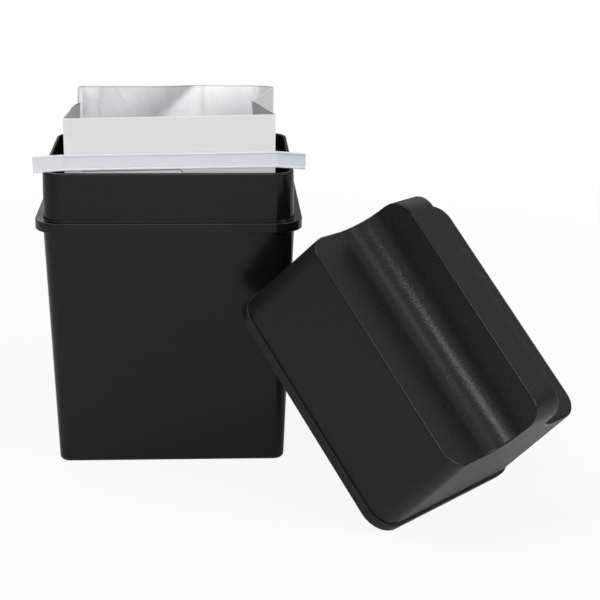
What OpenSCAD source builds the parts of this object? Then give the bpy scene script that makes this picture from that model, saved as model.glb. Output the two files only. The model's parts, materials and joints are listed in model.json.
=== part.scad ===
// Coffee bag keeper: a tapered moulded canister, its deep lid leaning against one corner, and the
// open coffee bag that stands inside, with the tin tie that holds the bag shut once it is rolled down.
// Millimetres, +Z up. The origin is the middle of the canister's underside, and the front is -Y.

/* [Canister] */
// Width of the flange, the widest outline of the canister
flange_w = 134; // [128:1:142]
// Depth of the flange
flange_d = 110; // [108:1:122]
// Corner radius of the flange outline
flange_r = 14; // [13:0.5:18]
// Height of the flange's top face, where the closed lid sits
flange_top = 130.6; // [120:0.1:138]
// Thickness of the flange
flange_t = 5.1; // [3.5:0.1:8]
// Height of the rim
rim_z = 155; // [150:0.5:165]
// Step in from the flange outline at the foot of the wall
base_inset = 8.4; // [6:0.1:9]
// Step in from the flange outline just under the flange
shoulder_inset = 3.9; // [3:0.1:5]
// Step in from the flange outline at the foot of the collar
collar_inset = 4.1; // [3.8:0.1:4.5]
// Step in from the flange outline at the rim
rim_inset = 4.5; // [4.2:0.1:5]
// Wall thickness below the flange
wall = 2; // [1.5:0.1:2.2]
// Wall thickness of the collar at the rim
rim_wall = 1.6; // [1.4:0.1:2]
// Floor thickness
floor_t = 2.5; // [2:0.1:4]
// Rounding of the bottom edge
base_round = 2.5; // [1:0.1:3]
// Rounding of the flange's two edges and of the rim
edge_round = 0.8; // [0.4:0.1:0.8]
// Fillet between the flange and the collar
collar_fillet = 1.2; // [0.6:0.1:2]

/* [Lid] */
// Height of the lid to its flat top
lid_flat = 61; // [55:0.5:66]
// Height of the lid to the top of the grip ridge
lid_top = 87.8; // [86:0.2:95]
// Height of the lip round the mouth
lip_h = 5; // [3:0.1:8]
// How far the lip stands out from the wall
lip_over = 1; // [0.6:0.1:1.5]
// Rounding of the lip's edges
lip_round = 0.6; // [0.3:0.1:0.8]
// Inward draft of the lid wall per millimetre of height
lid_draft = 0.042; // [0.03:0.001:0.05]
// Wall thickness of the lid
lid_wall = 1.7; // [1.4:0.1:1.8]
// Half the width of the ridge's flat crest
crest_half = 8.9; // [7:0.1:11]
// Slope of the ridge's flanks from the flat top
flank_slope = 80; // [72:1:84]
// Radius of the hollow sweep from a flank out to the flat top
sweep_r = 19; // [14:0.5:20]
// Radius of the ridge's rounded ends, seen from the side
ridge_end_r = 11; // [8:0.5:14]
// Backward lean of the lid as it rests on its edge
lid_lean = 45.3; // [42:0.1:50]
// Turn of the lid about the upright axis
lid_turn = -44.8; // [-50:0.1:-40]
// Shift of the lid along the edge that it rests on
lid_side = 14.3; // [5:0.1:20]
// Gap left where the lid leans on the canister's corner
lean_gap = 0.4; // [0.3:0.1:1]
// Gap left under the edge that the lid rests on
foot_gap = 0.2; // [0.1:0.1:0.5]

/* [Bag] */
// Width of the bag's front panel
bag_w = 104; // [98:0.5:106]
// Sideways offset of the bag in the canister
bag_x = 1; // [0:0.5:2]
// Depth of the bag at its bottom
bag_d = 79.6; // [70:0.2:84]
// Height of the bag's mouth at the middle of the front panel
bag_top = 183.1; // [178:0.1:195]
// Rise of the front panel's top edge per millimetre to the right
mouth_rise = 0.021; // [0:0.001:0.03]
// Gap between the bag's front panel and the canister at the floor
front_gap = 1; // [0.6:0.1:2]
// Forward lean of the front panel
front_lean = 1.46; // [1:0.02:1.8]
// Depth of the right gusset's fold at the mouth
right_fold = 10.4; // [6:0.1:14]
// Depth of the left gusset's fold at the mouth
left_fold = 3.2; // [2:0.1:8]
// Outward bow of the back panel at the mouth
back_bow = 3; // [0:0.1:4]
// Thickness of the paper
paper_t = 0.5; // [0.4:0.05:0.6]
// Thickness of the foil lining
foil_t = 0.35; // [0.3:0.05:0.5]
// Width of the blank label on the front panel
label_w = 52; // [40:1:54]
// Height of the label
label_h = 80; // [60:1:100]
// Right edge of the label
label_right = 7.3; // [5:0.1:12]

/* [Tin tie] */
// Width of the tie strip
tie_h = 8.3; // [8:0.1:10]
// Height of the strip's lower edge above the rim, at mid-width
tie_above_rim = 1.64; // [1.6:0.02:4]
// Tilt of the strip, rising to the right
tie_tilt = 0.94; // [0:0.02:1]
// Thickness of the strip's web
web_t = 0.5; // [0.4:0.05:0.6]
// Diameter of the two ribs that hold the wires
rib_d = 1.25; // [1.2:0.05:1.5]
// Diameter of the wires
wire_d = 0.7; // [0.5:0.05:0.75]
// Length of each free end beyond its bend
end_len = 14.2; // [12:0.1:18]
// Forward bend of the left end
left_bend = 10; // [0:1:40]
// Forward bend of the right end
right_bend = 20; // [0:1:40]

/* [Hidden] */

black_plastic = [0.09, 0.09, 0.09];
paper_white = [0.95, 0.95, 0.94];
foil_grey = [0.72, 0.72, 0.71];
label_white = [0.98, 0.98, 0.98];
tie_white = [0.96, 0.96, 0.96];
wire_grey = [0.55, 0.55, 0.56];

$fn = 32;
// Facets of a quarter corner, of a rounded edge and of a profile arc
corner_steps = 6;
round_steps = 3;
arc_steps = 8;
// Margin by which a cutting form runs past what it cuts
past = 1;

// Canister: the inner wall drafts out to the flange and runs straight up the collar
inner_base = base_inset + wall;
inner_rim = rim_inset + rim_wall;
inner_round = 1.5;

// Lid: centres of the sweep beside the ridge and of the ridge's rounded end
flank_normal = [sin(flank_slope), cos(flank_slope)];
sweep_z = lid_flat + sweep_r;
sweep_y = crest_half + (sweep_r + (lid_top - sweep_z)*flank_normal.y)/flank_normal.x;
end_z = lid_top - ridge_end_r;
end_x = flange_w/2 - lip_over - lid_draft*end_z - ridge_end_r*sqrt(1 + lid_draft*lid_draft);

// Lid: it stands on its lip's right edge, and its left edge leans on the canister's corner
lean_z = flange_w*sin(lid_lean) + foot_gap;
lean_inset = base_inset + (shoulder_inset - base_inset)*lean_z/(flange_top - flange_t);
lean_corner = [flange_w/2 - flange_r, flange_r - flange_d/2];
lid_out = flange_r - lean_inset + lean_gap + flange_w/2*cos(lid_lean);
lid_along = [cos(lid_turn), sin(lid_turn)];
lid_across = [-sin(lid_turn), cos(lid_turn)];
lid_place = lean_corner + lid_along*lid_out + lid_across*lid_side;

// Bag: it stands just clear of the floor and the front wall
bag_z = floor_t + 0.4;
bag_front = inner_base + front_gap - flange_d/2;
bag_back = bag_front + bag_d;
ply_gap = 0.05;
foil_in = paper_t + ply_gap;
bag_levels = 6;
edge_steps = 4;
right_fold_y = -8;
left_fold_y = -13;

// Tin tie: the bends lie just outside the bag's front corners
rib_r = rib_d/2;
tie_z = rim_z + tie_above_rim + tie_h/2;
bend_left = bag_x - bag_w/2 - 1.2;
bend_right = bag_x + bag_w/2 + 1.2;
barrel_r = rib_r - 0.05;
seat_gap = 0.35;
rib_back = 0.65;
rib_room = 0.25;
wire_room = 0.04;
wire_short = 0.3;
wire_start = 0.9;

// One level of the canister or the lid: the flange outline stepped in by i, at height z
function ring(i, z) = [
  for (c = [0:3], k = [0:corner_steps])
    let (
      a = 90*c + 90*k/corner_steps,
      side = (c == 0 || c == 3) ? 1 : -1,
      depth = c < 2 ? 1 : -1,
      r = flange_r - i
    )
    [
      side*(flange_w/2 - flange_r) + r*cos(a),
      depth*(flange_d/2 - flange_r) + r*sin(a),
      z
    ]
];

// Levels of a quarter round about [i, z], from angle a to angle b, in the plane of step and height
function round_rings(i, z, r, a, b) = [
  for (k = [0:round_steps])
    let (t = a + (b - a)*k/round_steps)
    ring(i + r*cos(t), z + r*sin(t))
];

// The side faces between level j and the next, of m points each, facing outward, split along one
// diagonal of each cell or the other
function side_faces(j, m, rising) = [
  for (k = [0:m - 1])
    let (a = j*m + k, b = j*m + (k + 1)%m)
    each rising ? [[a, a + m, b + m], [a, b + m, b]] : [[a, a + m, b], [b, a + m, b + m]]
];

// The middle of a level's points
function middle(level) = [for (p = level) 1]*level/len(level);

// A solid through a stack of levels, each end closed by a fan about its middle. The levels past the
// turn run back down inside, and their cells are split as the ones that they follow.
module loft(levels, turn) {
  m = len(levels[0]);
  n = len(levels);
  last_up = is_undef(turn) ? n : turn;
  polyhedron(
    points = concat([for (level = levels) each level], [middle(levels[0]), middle(levels[n - 1])]),
    faces = concat(
      [for (j = [0:n - 2]) each side_faces(j, m, j < last_up)],
      [for (k = [0:m - 1]) [k, (k + 1)%m, n*m]],
      [for (k = [0:m - 1]) [(n - 1)*m + (k + 1)%m, (n - 1)*m + k, n*m + 1]]
    ),
    convexity = 8
  );
}

// An open vessel: the outer levels from the bottom up to the mouth, then the inner levels back down
module vessel(outer, inner) {
  loft(concat(outer, [for (j = [len(inner) - 1:-1:0]) inner[j]]), len(outer));
}

// Canister with its drafted wall, flange, lid collar and open mouth
module canister_body() {
  color(black_plastic)
    vessel(
      concat(
        round_rings(base_inset + base_round, base_round, base_round, 270, 180),
        [ring(shoulder_inset, flange_top - flange_t)],
        round_rings(edge_round, flange_top - flange_t + edge_round, edge_round, 270, 180),
        round_rings(edge_round, flange_top - edge_round, edge_round, 180, 90),
        round_rings(collar_inset - collar_fillet, flange_top + collar_fillet, collar_fillet, 270, 360),
        round_rings(rim_inset + edge_round, rim_z - edge_round, edge_round, 180, 90)
      ),
      concat(
        round_rings(inner_base + inner_round, floor_t + inner_round, inner_round, 270, 180),
        [ring(inner_rim, flange_top)],
        [ring(inner_rim, rim_z - edge_round/2), ring(inner_rim - edge_round/2, rim_z)]
      )
    );
}

// The lid across its width, a wall thickness o in from the outer face: flat top, sweeps and ridge
module lid_cross_section(o) {
  r = sweep_r + o;
  flank = [
    for (k = [0:arc_steps])
      let (a = 270 - flank_slope*k/arc_steps)
      [sweep_y + r*cos(a), sweep_z + r*sin(a)]
  ];
  foot = flank[len(flank) - 1];
  crest = [foot.x - (lid_top - o - foot.y)*cos(flank_slope)/sin(flank_slope), lid_top - o];
  right = concat([[flange_d, -past], [flange_d, lid_flat - o]], flank, [crest]);
  polygon(concat(right, [for (k = [len(right) - 1:-1:0]) [-right[k].x, right[k].y]]));
}

// The lid along its length: the ridge's ends round over into the end walls
module lid_long_section(o) {
  r = ridge_end_r - o;
  right = concat(
    [[flange_w, -past], [flange_w, end_z]],
    [
      for (k = [0:arc_steps])
        let (a = 90*k/arc_steps)
        [end_x + r*cos(a), end_z + r*sin(a)]
    ]
  );
  polygon(concat(right, [for (k = [len(right) - 1:-1:0]) [-right[k].x, right[k].y]]));
}

// The solid form of the lid, a wall thickness o in from its outer face, reaching down to height low
module lid_form(o, low) {
  intersection() {
    loft([
      ring(lip_over + o + lid_draft*low, low),
      ring(lip_over + o + lid_draft*lid_top, lid_top)
    ]);
    rotate([90, 0, 90])
      linear_extrude(2*flange_w, center = true)
        lid_cross_section(o);
    rotate([90, 0, 0])
      linear_extrude(2*flange_d, center = true)
        lid_long_section(o);
  }
}

// Sets the lid on its edge, leaning on the canister's front right corner
module lid_leaning() {
  translate([lid_place.x, lid_place.y, flange_w/2*sin(lid_lean) + foot_gap])
    rotate([0, 0, lid_turn])
      rotate([0, lid_lean, 0])
        children();
}

// Deep lid: a lip that sits on the flange, drafted walls and a hollow grip ridge
module lid_shell() {
  color(black_plastic)
    lid_leaning()
      difference() {
        union() {
          lid_form(0, 0);
          loft(concat(
            round_rings(lip_round, lip_round, lip_round, 270, 180),
            round_rings(lip_round, lip_h - lip_round, lip_round, 180, 90)
          ));
        }
        lid_form(lid_wall, -past);
      }
}

// Depth of the front panel's plane at height z
function front_y(z) = bag_front - tan(front_lean)*(z - bag_z);

// Height of the mouth above a point of the plan: its front edge rises to the right
function mouth_z(p) =
  bag_top + mouth_rise*(p.x - bag_x)*min(1, max(0, (bag_back - p.y)/bag_d));

// Height of the bag's outer face above a point of the plan, at a share s of the way to the mouth
function level_z(p, s) = bag_z + s*(mouth_z(p) - bag_z);

// The inner points of an edge from a to b that bows out to its right by h
function bowed(a, b, h) =
  let (along = (b - a)/norm(b - a))
  [for (k = [1:edge_steps - 1])
    let (t = k/edge_steps)
    a + (b - a)*t + [along.y, -along.x]*h*sin(180*t)];

// Plan of the bag at a share s of its height: flat front panel, folded gussets, bowed back
function bag_plan(s) =
  let (
    fold = pow(s, 1.4),
    left = bag_x - bag_w/2,
    right = bag_x + bag_w/2,
    front_left = [left, front_y(level_z([left, bag_front], s))],
    front_right = [right, front_y(level_z([right, bag_front], s))],
    right_crease = [right - right_fold*fold, right_fold_y],
    back_right = [right + 1.2*s, bag_back],
    back_left = [left + s, bag_back],
    left_crease = [left + left_fold*fold, left_fold_y]
  )
  concat(
    [front_left, front_right],
    bowed(front_right, right_crease, 0.6*s),
    [right_crease],
    bowed(right_crease, back_right, 0.6*s),
    [back_right],
    bowed(back_right, back_left, back_bow*s),
    [back_left],
    bowed(back_left, left_crease, 0.8*s),
    [left_crease],
    bowed(left_crease, front_left, 1.6*s)
  );

// A closed plan moved in by d, square to its edges
function moved_in(plan, d) =
  let (m = len(plan))
  [for (k = [0:m - 1])
    let (
      e = plan[k] - plan[(k + m - 1)%m],
      f = plan[(k + 1)%m] - plan[k],
      u = [-e.y, e.x]/norm(e),
      v = [-f.y, f.x]/norm(f)
    )
    plan[k] + d*(u + v)/(1 + u*v)];

// The levels of one face of a ply, d in from the bag's outer face
function bag_face(d) = [
  for (j = [0:bag_levels])
    let (s = j/bag_levels)
    [for (p = moved_in(bag_plan(s), d)) [p.x, p.y, level_z(p, s) + d*(1 - s)]]
];

// Outer ply: white paper, a side-gusset bag standing open
module bag_paper() {
  color(paper_white)
    vessel(bag_face(0), bag_face(paper_t));
}

// Inner ply: foil lining
module bag_foil() {
  color(foil_grey)
    vessel(bag_face(foil_in), bag_face(foil_in + foil_t));
}

// Sets a piece on the front panel's outer face at height z, upright along the panel, front face to -Y
module on_front(z) {
  translate([0, front_y(z), z])
    rotate([front_lean, 0, 0])
      children();
}

// Blank label on the front panel, its top edge just under the tie
module bag_label() {
  label_t = 0.3;
  label_corner = 2;
  top = tie_z - tie_h/2 - tan(tie_tilt)*(label_w - label_right) - 0.3;
  color(label_white)
    on_front(top)
      rotate([90, 0, 0])
        linear_extrude(label_t)
          translate([label_right - label_w + label_corner, label_corner - label_h])
            offset(r = label_corner)
              square([label_w - 2*label_corner, label_h - 2*label_corner]);
}

// Sets a piece in the tie's own frame: x along the strip, z across it, back face on the panel
module tie_frame() {
  on_front(tie_z)
    rotate([0, -tie_tilt, 0])
      children();
}

// Sets a piece at a bend's upright axis
module at_bend(x) {
  tie_frame()
    translate([x, -rib_r, 0])
      children();
}

// A round bar of diameter d along x between a and b, at the height of each rib
module rib_bars(d, a, b) {
  for (edge = [-1, 1])
    translate([min(a, b), -rib_r, edge*(tie_h/2 - rib_r)])
      rotate([0, 90, 0])
        cylinder(d = d, h = abs(b - a));
}

// The web of the strip between a and b, with a height h
module web(a, b, h) {
  translate([min(a, b), -web_t, -h/2])
    cube([abs(b - a), web_t, h]);
}

// Round room about a bend's axis
module bend_room(x, r) {
  translate([x, -rib_r, -tie_h])
    cylinder(r = r, h = 2*tie_h);
}

// Middle of the tie, glued across the front panel, with a tongue that reaches to each bend
module tie_strip() {
  color(tie_white)
    tie_frame()
      union() {
        difference() {
          union() {
            web(bend_left, bend_right, tie_h - rib_d);
            rib_bars(rib_d, bend_left, bend_right);
          }
          rib_bars(wire_d + wire_room, bend_left, bend_right);
          bend_room(bend_left, rib_r + rib_back);
          bend_room(bend_right, rib_r + rib_back);
        }
        difference() {
          web(bend_left, bend_right, tie_h - 2*(rib_d + rib_room));
          bend_room(bend_left, barrel_r + seat_gap);
          bend_room(bend_right, barrel_r + seat_gap);
        }
      }
}

// Wires in the middle of the tie
module tie_wires() {
  color(wire_grey)
    tie_frame()
      rib_bars(wire_d, bend_left + rib_r + rib_back, bend_right - rib_r - rib_back);
}

// A free end of the tie in its bend's frame, running to the right (1) or left (-1) from a round barrel
module tie_end(side) {
  translate([0, rib_r, 0])
    difference() {
      union() {
        web(0, side*end_len, tie_h - rib_d);
        rib_bars(rib_d, 0, side*end_len);
        translate([0, -rib_r, rib_r - tie_h/2])
          cylinder(r = barrel_r, h = tie_h - rib_d);
      }
      rib_bars(wire_d + wire_room, side*wire_start, side*(end_len + past));
    }
}

// The wires in a free end
module tie_end_wires(side) {
  translate([0, rib_r, 0])
    rib_bars(wire_d, side*wire_start, side*(end_len - wire_short));
}

// Left free end, bent a little forward
module tie_left() {
  color(tie_white)
    at_bend(bend_left)
      rotate([0, 0, left_bend])
        tie_end(-1);
}

// Wires of the left free end
module tie_left_wires() {
  color(wire_grey)
    at_bend(bend_left)
      rotate([0, 0, left_bend])
        tie_end_wires(-1);
}

// Right free end, bent further forward
module tie_right() {
  color(tie_white)
    at_bend(bend_right)
      rotate([0, 0, -right_bend])
        tie_end(1);
}

// Wires of the right free end
module tie_right_wires() {
  color(wire_grey)
    at_bend(bend_right)
      rotate([0, 0, -right_bend])
        tie_end_wires(1);
}

canister_body();
lid_shell();
bag_paper();
bag_foil();
bag_label();
tie_strip();
tie_wires();
tie_left();
tie_left_wires();
tie_right();
tie_right_wires();
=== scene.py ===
"""Coffee bag keeper: black moulded canister, open coffee bag inside, and the deep lid leaning on a corner."""
import json
import math

import bmesh
import bpy
from mathutils import Matrix, Vector

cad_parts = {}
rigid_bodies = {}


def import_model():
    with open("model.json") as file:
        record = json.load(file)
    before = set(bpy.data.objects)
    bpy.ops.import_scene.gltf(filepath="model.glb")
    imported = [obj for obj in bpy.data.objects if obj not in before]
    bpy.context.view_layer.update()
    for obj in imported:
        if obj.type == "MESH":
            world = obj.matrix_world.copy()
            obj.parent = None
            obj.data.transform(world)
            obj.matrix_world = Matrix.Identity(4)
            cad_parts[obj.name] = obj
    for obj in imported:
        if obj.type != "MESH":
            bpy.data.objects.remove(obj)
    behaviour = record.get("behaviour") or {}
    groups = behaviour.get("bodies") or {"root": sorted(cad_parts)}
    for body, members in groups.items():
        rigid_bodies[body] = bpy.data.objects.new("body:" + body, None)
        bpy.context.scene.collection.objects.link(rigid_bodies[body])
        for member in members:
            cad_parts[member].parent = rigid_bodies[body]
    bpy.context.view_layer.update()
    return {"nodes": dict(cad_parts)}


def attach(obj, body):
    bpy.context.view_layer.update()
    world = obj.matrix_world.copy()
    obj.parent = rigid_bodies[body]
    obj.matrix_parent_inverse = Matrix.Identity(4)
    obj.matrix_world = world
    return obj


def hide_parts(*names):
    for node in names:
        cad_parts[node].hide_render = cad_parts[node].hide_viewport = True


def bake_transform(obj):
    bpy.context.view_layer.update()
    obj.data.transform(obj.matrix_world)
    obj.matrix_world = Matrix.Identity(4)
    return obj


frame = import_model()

MM = 0.001

# Canister in millimetres, as the solids have it
FLANGE_W = 134.0
FLANGE_D = 110.0
FLANGE_R = 14.0
FLANGE_TOP = 130.6
FLANGE_T = 5.1
RIM_Z = 155.0
BASE_INSET = 8.4
SHOULDER_INSET = 3.9
COLLAR_INSET = 4.1
RIM_INSET = 4.5
WALL = 2.0
RIM_WALL = 1.6
FLOOR_T = 2.5
BASE_ROUND = 2.5
EDGE_ROUND = 0.8
INNER_ROUND = 1.5

# Lid in millimetres, as the solids have it
LID_FLAT = 61.0
LID_TOP = 87.8
LIP_H = 5.0
LIP_OVER = 1.0
LIP_ROUND = 0.6
LID_DRAFT = 0.042
LID_WALL = 1.7
CREST_HALF = 8.9
FLANK_SLOPE = math.radians(80.0)
SWEEP_R = 19.0
RIDGE_END_R = 11.0
LID_LEAN = math.radians(45.3)
LID_TURN = math.radians(-44.8)
LID_SIDE = 14.3
LEAN_GAP = 0.4
FOOT_GAP = 0.2

# Bag and label in millimetres, as the solids have them
BAG_W = 104.0
BAG_X = 1.0
BAG_D = 79.6
BAG_TOP = 183.1
FLOOR_GAP = 0.4
FRONT_GAP = 1.0
BAG_Z = FLOOR_T + FLOOR_GAP
BAG_FRONT = BASE_INSET + WALL + FRONT_GAP - FLANGE_D / 2
BAG_BACK = BAG_FRONT + BAG_D
MOUTH_RISE = 0.021
FRONT_LEAN = math.radians(1.46)
RIGHT_FOLD = 10.4
RIGHT_FOLD_Y = -8.0
LABEL_W = 52.0
LABEL_H = 80.0
LABEL_RIGHT = 7.3

# Tin tie in millimetres, as the solids have it
TIE_H = 8.3
TIE_TILT = math.radians(0.94)
TIE_ABOVE_RIM = 1.64
TIE_Z = RIM_Z + TIE_ABOVE_RIM + TIE_H / 2
WEB_T = 0.5
RIB_R = 0.625
END_LEN = 14.2
LEFT_BEND = math.radians(10.0)
RIGHT_BEND = math.radians(20.0)
PAST_BAG = 1.2
BEND_LEFT = BAG_X - BAG_W / 2 - PAST_BAG
BEND_RIGHT = BAG_X + BAG_W / 2 + PAST_BAG

# Only in the scene, or other than in the solids, in millimetres
FLANGE_ROUND = 0.5
COLLAR_FILLET = 0.25
SHOULDER_FILLET = 0.6
LID_EDGE_ROUND = 0.9
LID_INNER_ROUND = 0.4
LEFT_FOLD = 5.2
LEFT_FOLD_Y = -8.0
PAPER_T = 0.20
FOIL_IN = 0.22
FOIL_T = 0.12
LABEL_T = 0.3
LABEL_CORNER = 2.0
LABEL_DROP = 0.15
LABEL_EDGE = 0.08
LABEL_LINE = 0.45
BEND_R = 1.6
BEND_REACH = 1.4


# Shader kit

class Value:
    """A socket's output, for use in sums and products of shader values."""

    def __init__(self, finish, socket):
        self.finish = finish
        self.socket = socket

    def sum_of(self, operation, first, second):
        """One Math node on two values."""
        return self.finish.add("ShaderNodeMath", {"operation": operation}, {0: first, 1: second})

    def __add__(self, other):
        return self.sum_of("ADD", self, other)

    def __radd__(self, other):
        return self.sum_of("ADD", other, self)

    def __sub__(self, other):
        return self.sum_of("SUBTRACT", self, other)

    def __rsub__(self, other):
        return self.sum_of("SUBTRACT", other, self)

    def __mul__(self, other):
        return self.sum_of("MULTIPLY", self, other)

    def __rmul__(self, other):
        return self.sum_of("MULTIPLY", other, self)


class Finish:
    """The nodes of a material, or of the world."""

    def __init__(self, name, world=False):
        self.holder = (bpy.data.worlds if world else bpy.data.materials).new(name)
        self.holder.use_nodes = True
        self.tree = self.holder.node_tree
        self.tree.nodes.clear()
        self.out = self.tree.nodes.new("ShaderNodeOutputWorld" if world else "ShaderNodeOutputMaterial")

    def add(self, kind, settings=None, sockets=None, out=0):
        """Adds one node: its settings first, then the values or links of its sockets."""
        node = self.tree.nodes.new(kind)
        for name, value in (settings or {}).items():
            setattr(node, name, value)
        for name, value in (sockets or {}).items():
            if isinstance(value, Value):
                self.tree.links.new(value.socket, node.inputs[name])
            else:
                node.inputs[name].default_value = value
        return Value(self, node.outputs[out])

    def place(self, scale=(1.0, 1.0, 1.0)):
        """Object coordinates, in metres; a scale below 1 draws the pattern out along that axis."""
        coords = self.add("ShaderNodeTexCoord", out="Object")
        return self.add("ShaderNodeMapping", sockets={"Vector": coords, "Scale": scale})

    def noise(self, where, size, detail=2.0, rough=0.5):
        """Noise whose features are about size millimetres across."""
        return self.add("ShaderNodeTexNoise", {"noise_dimensions": "3D"},
                        {"Vector": where, "Scale": 1.0 / (size * MM), "Detail": detail, "Roughness": rough})

    def cells(self, where, size, feature="F1"):
        """Distance in a pattern of cells about size millimetres across."""
        return self.add("ShaderNodeTexVoronoi", {"feature": feature},
                        {"Vector": where, "Scale": 1.0 / (size * MM)}, out="Distance")

    def between(self, value, low, high):
        """0 below low, 1 above high, and a soft step between."""
        return self.add("ShaderNodeMapRange", {"interpolation_type": "SMOOTHSTEP"},
                        {"Value": value, "From Min": low, "From Max": high})

    def mix(self, mask, first, second):
        """Colour first where the mask is 0, and second where it is 1."""
        return self.add("ShaderNodeMix", {"data_type": "RGBA"}, {0: mask, 6: first, 7: second}, out=2)

    def layer(self, mask, first, second):
        """Shader first where the mask is 0, and second where it is 1."""
        return self.add("ShaderNodeMixShader", sockets={0: mask, 1: first, 2: second})

    def bump(self, height, depth, strength):
        """Normal from a height of 0 to 1 that is depth millimetres deep."""
        return self.add("ShaderNodeBump",
                        sockets={"Height": height, "Distance": depth * MM, "Strength": strength})

    def attribute(self, name):
        """A value that the mesh carries."""
        return self.add("ShaderNodeAttribute", {"attribute_name": name}, out="Fac")

    def rays(self, kind):
        """1 for rays of one kind, and 0 for all others."""
        return self.add("ShaderNodeLightPath", out=kind)

    def surface(self, **sockets):
        """Principled surface from sockets named with underscores."""
        shader = self.add("ShaderNodeBsdfPrincipled",
                          sockets={name.replace("_", " "): value for name, value in sockets.items()})
        return self.close(shader)

    def close(self, shader):
        """Ends the nodes in a shader, and gives the material or the world."""
        self.tree.links.new(shader.socket, self.out.inputs["Surface"])
        return self.holder


def grey(level, warm=0.0):
    """Linear colour of a grey, a little warmer or cooler."""
    return (level * (1.0 + warm), level, level * (1.0 - warm), 1.0)


# Finishes: a ROUGH value is a roughness or what a pattern adds to it, a LIFT is a pattern's share of the bump

COOL = -0.04
PLASTIC_TINT = (0.95, 1.0, 1.01, 1.0)
# Painted highlight: the grey of the glints painted on the grain
GLINT_PAINTED_HIGHLIGHT = grey(0.036)
DUST_SHADE = grey(0.045)
DUST_LEAST = 0.15
DUST_SPECKLED = 0.25
WALL_FLOW_ROUGH = 0.05
WALL_GRAIN_ROUGH = 0.04
TOP_SHADES = (grey(0.0096, COOL), grey(0.0146, COOL))
TOP_SHINE = 0.18
TOP_ROUGH = 0.14
TOP_FLOW_ROUGH = 0.03
TOP_GRAIN_ROUGH = 0.05
TOP_GRAIN_LIFT = 0.6
TOP_PIT_LIFT = 0.4


def glints(f, where):
    """Painted highlight: fine bright points that stand in for glints of light on the moulded grain."""
    return 1.0 - f.between(f.cells(where, size=0.95), low=0.10, high=0.38)


def satin_black(name, shades, rough, shine, dust_and_glints):
    """Moulded walls: smooth plastic with a faint melt flow, a very fine grain, a little dust and painted
    glints.
    """
    f = Finish(name)
    where = f.place()
    flow = f.noise(where, size=32.0, detail=3.0)
    grain = f.noise(where, size=0.55, detail=1.0)
    dust = 1.0 - f.between(f.cells(where, size=3.2), low=0.06, high=0.13)
    black = f.mix(flow, grey(shades[0], COOL), grey(shades[1], COOL))
    dusty = f.mix(dust * (DUST_LEAST + DUST_SPECKLED * dust_and_glints), black, DUST_SHADE)
    # The glints are a painted highlight, scattered with the fine grain; the dust specks are real dust
    colour = f.mix(glints(f, where) * grain * dust_and_glints, dusty, GLINT_PAINTED_HIGHLIGHT)
    return f.surface(Base_Color=colour, Roughness=rough + WALL_FLOW_ROUGH * flow + WALL_GRAIN_ROUGH * grain,
                     Specular_IOR_Level=shine, Specular_Tint=PLASTIC_TINT,
                     Normal=f.bump(grain, depth=0.028, strength=0.5))


def grained_black():
    """Top of the lid: the spark-eroded grain of the mould, deeper than on the walls, with painted glints."""
    f = Finish("grained_black_plastic")
    where = f.place()
    flow = f.noise(where, size=26.0, detail=3.0)
    pits = f.cells(where, size=0.85)
    grain = f.noise(where, size=0.75, rough=0.6)
    texture = TOP_GRAIN_LIFT * grain + TOP_PIT_LIFT * pits
    shade = f.mix(f.between(texture, low=0.25, high=0.75), *TOP_SHADES)
    # Painted highlight: glints on the grain
    colour = f.mix(glints(f, where) * grain, shade, GLINT_PAINTED_HIGHLIGHT)
    return f.surface(Base_Color=colour,
                     Roughness=TOP_ROUGH + TOP_FLOW_ROUGH * flow + TOP_GRAIN_ROUGH * texture,
                     Specular_IOR_Level=TOP_SHINE, Specular_Tint=PLASTIC_TINT,
                     Normal=f.bump(texture, depth=0.085, strength=1.0))


PAPER_SHADES = ((0.720, 0.742, 0.734, 1.0), (0.750, 0.772, 0.764, 1.0))
FIBRE_SHADE = grey(0.70)
FIBRE_SHOWS = 0.25
PAPER_FOLD_SHADE = grey(0.83)
PAPER_FOLD_WEAR = 0.4
# Painted highlight along the paper's cut edge at the mouth
PAPER_EDGE_PAINTED_HIGHLIGHT = grey(0.90)
PAPER_EDGE_HIGHLIGHTING = 0.6
PAPER_SHINE = 0.4
PAPER_ROUGH = 0.52
FIBRE_ROUGH = 0.10
FIBRE_LIFT = 0.4
COCKLE_LIFT = 0.6


def bag_paper():
    """White laminated paper: soft fibres, faint clouds, worn whiter on folds, a painted highlight on the cut
    edge.
    """
    f = Finish("bag_paper")
    where = f.place()
    clouds = f.noise(where, size=14.0, detail=3.0)
    fibres = f.noise(f.place(scale=(1.0, 1.0, 0.35)), size=0.5, detail=3.0, rough=0.65)
    cockle = f.noise(where, size=5.0)
    paper = f.mix(clouds, *PAPER_SHADES)
    fibrous = f.mix(f.between(fibres, low=0.35, high=0.7) * FIBRE_SHOWS, paper, FIBRE_SHADE)
    worn = f.mix(f.attribute("fold") * PAPER_FOLD_WEAR, fibrous, PAPER_FOLD_SHADE)
    # Painted highlight: the cut edge is whitened as if it caught the light
    colour = f.mix(f.attribute("cut_edge") * PAPER_EDGE_HIGHLIGHTING, worn, PAPER_EDGE_PAINTED_HIGHLIGHT)
    height = FIBRE_LIFT * fibres + COCKLE_LIFT * cockle
    return f.surface(Base_Color=colour, Roughness=PAPER_ROUGH + FIBRE_ROUGH * fibres,
                     Specular_IOR_Level=PAPER_SHINE, Normal=f.bump(height, depth=0.10, strength=0.5))


FOIL_SHADES = ((0.88, 0.895, 0.895, 1.0), (0.95, 0.962, 0.962, 1.0))
FOIL_FOLD_SHADE = grey(0.93)
FOIL_FOLD_WEAR = 0.5
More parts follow.
